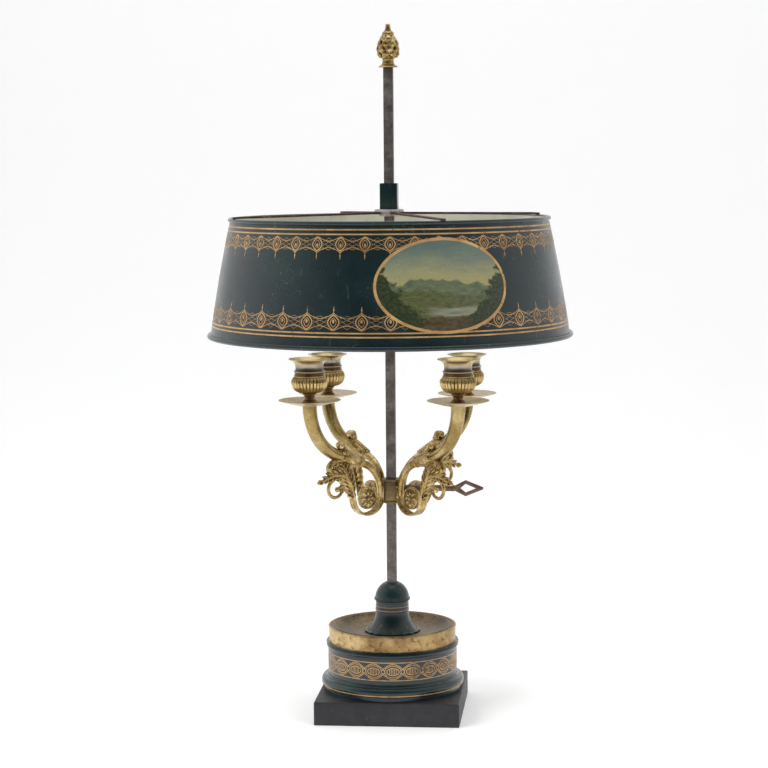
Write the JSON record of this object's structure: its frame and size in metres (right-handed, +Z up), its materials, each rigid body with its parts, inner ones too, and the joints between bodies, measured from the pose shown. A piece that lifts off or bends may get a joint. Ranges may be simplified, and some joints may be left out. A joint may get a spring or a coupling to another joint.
{
  "type": "bouillotte lamp",
  "caption": "Candle table lamp on a square plinth: scroll arms with nozzles and a round metal shade, both sliding on a square rod with a bud finial.",
  "frame": {"origin": "centre of the plinth's underside, on the table", "axes": "+Z up along the rod, X and Y along the plinth's sides, -Y the pictured front"},
  "size_m": [0.3496, 0.3496, 0.66],
  "materials": {
    "plinth": "matte black paint, worn",
    "green_lacquer": "glossy dark green lacquer with gilt lines",
    "gallery_brass": "mottled worn gilt brass",
    "tray_brass": "dark aged brass",
    "rod_iron": "pitted grey-brown iron",
    "inner_steel": "plain steel, hidden",
    "cast_brass": "chased cast brass with dark recesses",
    "horn_brass": "smooth olive-yellow brass",
    "pan_brass": "pale tan brass, dark edge",
    "nozzle_brass": "brass with a heat-coloured neck",
    "collar_bronze": "dark pitted bronze",
    "thumb_iron": "brown iron",
    "shade_lacquer": "dark blue-green lacquer, gilt borders",
    "spider_iron": "dark soldered iron"
  },
  "bodies": {
    "lamp": {"plinth": "plinth", "foot_ring": "green_lacquer", "base_drum": "green_lacquer", "drum_bead": "green_lacquer", "brass_gallery": "gallery_brass", "tray": "tray_brass", "base_spacer": "inner_steel", "base_washer": "inner_steel", "base_nut": "inner_steel", "stem_boss": "green_lacquer", "stem_rod": "rod_iron", "finial": "cast_brass"},
    "candelabra": {"collar": "collar_bronze", "cup_screws": "inner_steel", "arm_front_left": "cast_brass", "horn_front_left": "horn_brass", "drip_pan_front_left": "pan_brass", "nozzle_front_left": "nozzle_brass", "arm_front_right": "cast_brass", "horn_front_right": "horn_brass", "drip_pan_front_right": "pan_brass", "nozzle_front_right": "nozzle_brass", "arm_rear_left": "cast_brass", "horn_rear_left": "horn_brass", "drip_pan_rear_left": "pan_brass", "nozzle_rear_left": "nozzle_brass", "arm_rear_right": "cast_brass", "horn_rear_right": "horn_brass", "drip_pan_rear_right": "pan_brass", "nozzle_rear_right": "nozzle_brass"},
    "thumb_screw": {"thumb_screw": "thumb_iron"},
    "shade": {"shade_wall": "shade_lacquer", "shade_bottom_roll": "shade_lacquer", "shade_top_roll": "shade_lacquer", "shade_bottom_wire": "inner_steel", "shade_top_wire": "inner_steel", "spider_hub": "spider_iron", "shade_sleeve": "green_lacquer", "sleeve_spring": "inner_steel", "spider_arm_1": "spider_iron", "spider_arm_2": "spider_iron", "spider_arm_3": "spider_iron", "spider_arm_4": "spider_iron"}
  },
  "joints": [
    {"name": "shade_slide", "type": "slide", "parent": "lamp", "child": "shade", "axis": [0, 0, 1], "range_m": [-0.06, 0.105]},
    {"name": "candelabra_slide", "type": "slide", "parent": "lamp", "child": "candelabra", "axis": [0, 0, 1], "range_m": [-0.065, 0.055]},
    {"name": "thumb_screw_turn", "type": "hinge", "parent": "candelabra", "child": "thumb_screw", "pos_m": [0, 0, 0.2175], "axis": [1, 0, 0], "range_deg": [-720, 45]}
  ]
}
